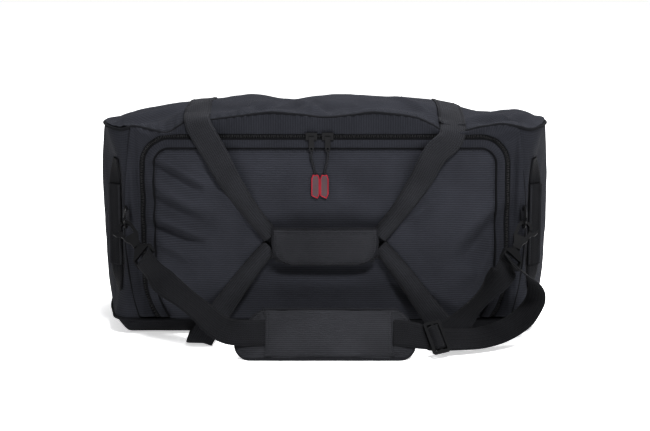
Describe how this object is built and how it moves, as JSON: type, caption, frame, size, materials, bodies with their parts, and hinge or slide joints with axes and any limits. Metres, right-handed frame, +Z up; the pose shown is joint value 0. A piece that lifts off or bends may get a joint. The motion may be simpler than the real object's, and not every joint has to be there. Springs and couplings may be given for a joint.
{
  "type": "duffel bag",
  "caption": "Soft rectangular travel holdall lying on its long side, with zipped lid, wrapped haul handle, end handles and a clip-on padded shoulder strap.",
  "frame": {"origin": "on the floor, under the middle of the long side wall that the bag lies on", "axes": "+X along the bag's length, +Y from the zipped lid back to the base, +Z up from the wall it lies on"},
  "size_m": [0.7, 0.4276, 0.3428],
  "materials": {
    "shell": "matt black-navy woven polyester",
    "lid": "matt black-navy woven polyester with a slight sheen",
    "trim": "matt black woven binding",
    "webbing": "matt black ribbed webbing",
    "padding": "matt dark grey woven pad cloth",
    "zip": "satin black nylon coil",
    "metal": "satin black paint",
    "nylon": "satin black moulded nylon",
    "rubber": "satin dark red rubber edge",
    "board": "matt black board"
  },
  "bodies": {
    "bag": {"upper_side_wall": "shell", "lower_side_wall": "shell", "end_panel_right": "shell", "end_panel_left": "shell", "base_panel": "shell", "base_board": "board", "piping_upper": "trim", "piping_lower": "trim", "front_yoke": "shell", "zip_chain": "zip", "lid_border": "trim", "lid_panel": "lid", "webbing_over_left": "webbing", "webbing_behind_left": "webbing", "webbing_under_left": "webbing", "handle_leg_upper_left": "webbing", "handle_leg_lower_left": "webbing", "end_handle_leg_upper_left": "webbing", "end_handle_leg_lower_left": "webbing", "ring_tab_left": "webbing", "hook_loop_left": "nylon", "webbing_over_right": "webbing", "webbing_behind_right": "webbing", "webbing_under_right": "webbing", "handle_leg_upper_right": "webbing", "handle_leg_lower_right": "webbing", "end_handle_leg_upper_right": "webbing", "end_handle_leg_lower_right": "webbing", "ring_tab_right": "webbing", "hook_loop_right": "nylon", "shoulder_strap_left": "webbing", "shoulder_strap_right": "webbing", "shoulder_strap_return": "webbing", "shoulder_pad": "padding"},
    "hand_grip": {"grip_webbing_upper": "webbing", "grip_webbing_lower": "webbing", "grip_wrap_back": "padding"},
    "wrap_flap": {"grip_wrap_flap": "padding"},
    "buckle": {"slide_buckle": "nylon"},
    "end_grip_left": {"end_handle_grip_left": "webbing"},
    "ring_left": {"d_ring_left": "metal"},
    "hook_left": {"hook_body_left": "nylon"},
    "gate_left": {"hook_gate_left": "nylon"},
    "slider_left": {"zip_slider_left": "metal"},
    "puller_left": {"zip_puller_left": "metal"},
    "pull_left": {"pull_cord_left": "webbing", "pull_tab_left": "rubber"},
    "end_grip_right": {"end_handle_grip_right": "webbing"},
    "ring_right": {"d_ring_right": "metal"},
    "hook_right": {"hook_body_right": "nylon"},
    "gate_right": {"hook_gate_right": "nylon"},
    "slider_right": {"zip_slider_right": "metal"},
    "puller_right": {"zip_puller_right": "metal"},
    "pull_right": {"pull_cord_right": "webbing", "pull_tab_right": "rubber"}
  },
  "joints": [
    {"name": "hand_grip_lift", "type": "slide", "parent": "bag", "child": "hand_grip", "axis": [0, -1, 0], "range_m": [0, 0.06], "deforming": ["handle_leg_upper_left", "handle_leg_upper_right", "handle_leg_lower_left", "handle_leg_lower_right"]},
    {"name": "wrap_flap_open", "type": "hinge", "parent": "hand_grip", "child": "wrap_flap", "pos_m": [0, -0.1765, 0.171], "axis": [-1, 0, 0], "range_deg": [0, 100]},
    {"name": "buckle_slide", "type": "slide", "parent": "bag", "child": "buckle", "axis": [0.9313, 0.3428, 0.1228], "range_m": [0, 0.012]},
    {"name": "end_grip_lift_left", "type": "slide", "parent": "bag", "child": "end_grip_left", "axis": [-0.5312, -0.8473, 0], "range_m": [0, 0.018], "deforming": ["end_handle_leg_upper_left", "end_handle_leg_lower_left"]},
    {"name": "ring_swing_left", "type": "hinge", "parent": "bag", "child": "ring_left", "pos_m": [-0.294, -0.16, 0.188], "axis": [0, 0, 1], "range_deg": [-3, 6]},
    {"name": "hook_swivel_left", "type": "hinge", "parent": "bag", "child": "hook_left", "pos_m": [-0.27665, -0.19127, 0.15257], "axis": [-0.5553, 0.4543, 0.6966], "range_deg": [-8, 8]},
    {"name": "gate_press_left", "type": "hinge", "parent": "hook_left", "child": "gate_left", "pos_m": [-0.29418, -0.18618, 0.16038], "axis": [0, 0.8376, -0.5463], "range_deg": [0, 12], "stiffness_Nm_per_rad": 0.1, "springref_deg": -5.73},
    {"name": "zip_slide_left", "type": "slide", "parent": "bag", "child": "slider_left", "axis": [-1, 0, 0], "range_m": [0, 0.08]},
    {"name": "puller_swing_left", "type": "hinge", "parent": "slider_left", "child": "puller_left", "pos_m": [-0.02, -0.16246, 0.307], "axis": [-1, 0, 0], "range_deg": [0, 100]},
    {"name": "pull_swing_left", "type": "hinge", "parent": "puller_left", "child": "pull_left", "pos_m": [-0.02, -0.16246, 0.289], "axis": [-1, 0, 0], "range_deg": [0, 60]},
    {"name": "end_grip_lift_right", "type": "slide", "parent": "bag", "child": "end_grip_right", "axis": [0.5312, -0.8473, 0], "range_m": [0, 0.018], "deforming": ["end_handle_leg_upper_right", "end_handle_leg_lower_right"]},
    {"name": "ring_swing_right", "type": "hinge", "parent": "bag", "child": "ring_right", "pos_m": [0.294, -0.16, 0.188], "axis": [0, 0, 1], "range_deg": [-6, 3]},
    {"name": "hook_swivel_right", "type": "hinge", "parent": "bag", "child": "hook_right", "pos_m": [0.28131, -0.19096, 0.14963], "axis": [0.4194, 0.4493, 0.7888], "range_deg": [-8, 8]},
    {"name": "gate_press_right", "type": "hinge", "parent": "hook_right", "child": "gate_right", "pos_m": [0.29719, -0.18505, 0.16001], "axis": [0, -0.8689, 0.495], "range_deg": [0, 12], "stiffness_Nm_per_rad": 0.1, "springref_deg": -5.73},
    {"name": "zip_slide_right", "type": "slide", "parent": "bag", "child": "slider_right", "axis": [1, 0, 0], "range_m": [0, 0.09]},
    {"name": "puller_swing_right", "type": "hinge", "parent": "slider_right", "child": "puller_right", "pos_m": [0.004, -0.16248, 0.307], "axis": [-1, 0, 0], "range_deg": [0, 100]},
    {"name": "pull_swing_right", "type": "hinge", "parent": "puller_right", "child": "pull_right", "pos_m": [0.004, -0.16248, 0.289], "axis": [-1, 0, 0], "range_deg": [0, 60]}
  ]
}
